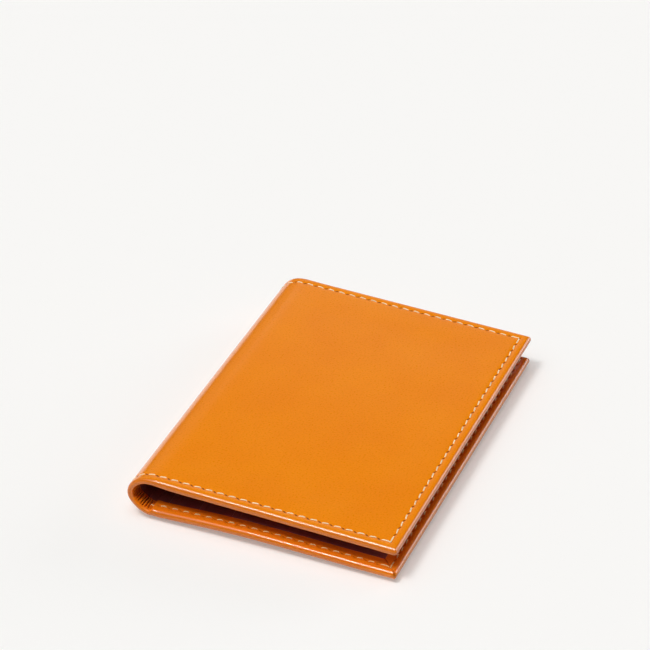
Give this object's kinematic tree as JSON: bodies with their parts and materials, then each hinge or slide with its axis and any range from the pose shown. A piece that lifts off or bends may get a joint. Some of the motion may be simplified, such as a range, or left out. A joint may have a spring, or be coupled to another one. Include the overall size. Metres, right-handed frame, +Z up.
{
  "type": "bifold wallet",
  "caption": "Upright bifold wallet in smooth tan leather with turned, contrast-stitched edges, a soft folding spine and dark card pockets inside both covers.",
  "frame": {"origin": "centre of the closed wallet's outline, on the surface that it lies on", "axes": "+Y along the fold towards the wallet's top edge, +X from the fold towards the opening, +Z up through the covers"},
  "size_m": [0.0726, 0.1, 0.0118],
  "materials": {
    "tan_leather": "smooth, semi-gloss",
    "pocket_leather": "smooth, satin",
    "lining": "thin, matt",
    "board": "matt fibre board",
    "thread": "twisted polyester"
  },
  "bodies": {
    "back_half": {"back_cover": "tan_leather", "back_spine_edge": "tan_leather", "back_turned_edge": "tan_leather", "back_board": "board", "back_lining": "lining", "back_slip_pocket": "pocket_leather", "back_slip_pocket_sides": "pocket_leather", "back_lower_card_pocket": "pocket_leather", "back_lower_card_pocket_sides": "pocket_leather", "back_upper_card_pocket": "pocket_leather", "back_upper_card_pocket_sides": "pocket_leather", "back_outer_thread": "thread", "back_inner_thread": "thread"},
    "front_half": {"front_cover": "tan_leather", "front_spine_edge": "tan_leather", "front_turned_edge": "tan_leather", "front_board": "board", "front_lining": "lining", "front_slip_pocket": "pocket_leather", "front_slip_pocket_sides": "pocket_leather", "front_lower_card_pocket": "pocket_leather", "front_lower_card_pocket_sides": "pocket_leather", "front_upper_card_pocket": "pocket_leather", "front_upper_card_pocket_sides": "pocket_leather", "front_outer_thread": "thread", "front_inner_thread": "thread"},
    "back_spine_1": {"back_spine_leather_1": "tan_leather", "back_spine_lining_1": "lining", "back_spine_thread_1": "thread"},
    "back_spine_2": {"back_spine_leather_2": "tan_leather", "back_spine_lining_2": "lining", "back_spine_thread_2": "thread"},
    "back_spine_3": {"back_spine_leather_3": "tan_leather", "back_spine_lining_3": "lining"},
    "front_spine_1": {"front_spine_leather_1": "tan_leather", "front_spine_lining_1": "lining", "front_spine_thread_1": "thread"},
    "front_spine_2": {"front_spine_leather_2": "tan_leather", "front_spine_lining_2": "lining", "front_spine_thread_2": "thread"},
    "front_spine_3": {"front_spine_leather_3": "tan_leather", "front_spine_lining_3": "lining"}
  },
  "joints": [
    {"name": "fold", "type": "hinge", "parent": "back_half", "child": "front_half", "pos_m": [-0.03967, 0, 0.00605], "axis": [0, -1, 0], "range_deg": [0, 181.9]},
    {"name": "back_bend_1", "type": "hinge", "parent": "back_half", "child": "back_spine_1", "pos_m": [-0.03195, 0, 0.00021], "axis": [0, -1, 0], "range_deg": [0, 30.32]},
    {"name": "back_bend_2", "type": "hinge", "parent": "back_spine_1", "child": "back_spine_2", "pos_m": [-0.03462, 0, 0.00176], "axis": [0, -1, 0], "range_deg": [0, 30.32]},
    {"name": "back_bend_3", "type": "hinge", "parent": "back_spine_2", "child": "back_spine_3", "pos_m": [-0.03613, 0, 0.00445], "axis": [0, -1, 0], "range_deg": [0, 30.32]},
    {"name": "front_bend_1", "type": "hinge", "parent": "front_half", "child": "front_spine_1", "pos_m": [-0.03176, 0, 0.01164], "axis": [0, 1, 0], "range_deg": [0, 30.32]},
    {"name": "front_bend_2", "type": "hinge", "parent": "front_spine_1", "child": "front_spine_2", "pos_m": [-0.03448, 0, 0.01017], "axis": [0, 1, 0], "range_deg": [0, 30.32]},
    {"name": "front_bend_3", "type": "hinge", "parent": "front_spine_2", "child": "front_spine_3", "pos_m": [-0.03608, 0, 0.00754], "axis": [0, 1, 0], "range_deg": [0, 30.32]}
  ],
  "couplings": [
    {"joint": "back_bend_1", "follows": "fold", "ratio": 0.16667},
    {"joint": "back_bend_2", "follows": "fold", "ratio": 0.16667},
    {"joint": "back_bend_3", "follows": "fold", "ratio": 0.16667},
    {"joint": "front_bend_1", "follows": "fold", "ratio": 0.16667},
    {"joint": "front_bend_2", "follows": "fold", "ratio": 0.16667},
    {"joint": "front_bend_3", "follows": "fold", "ratio": 0.16667}
  ]
}
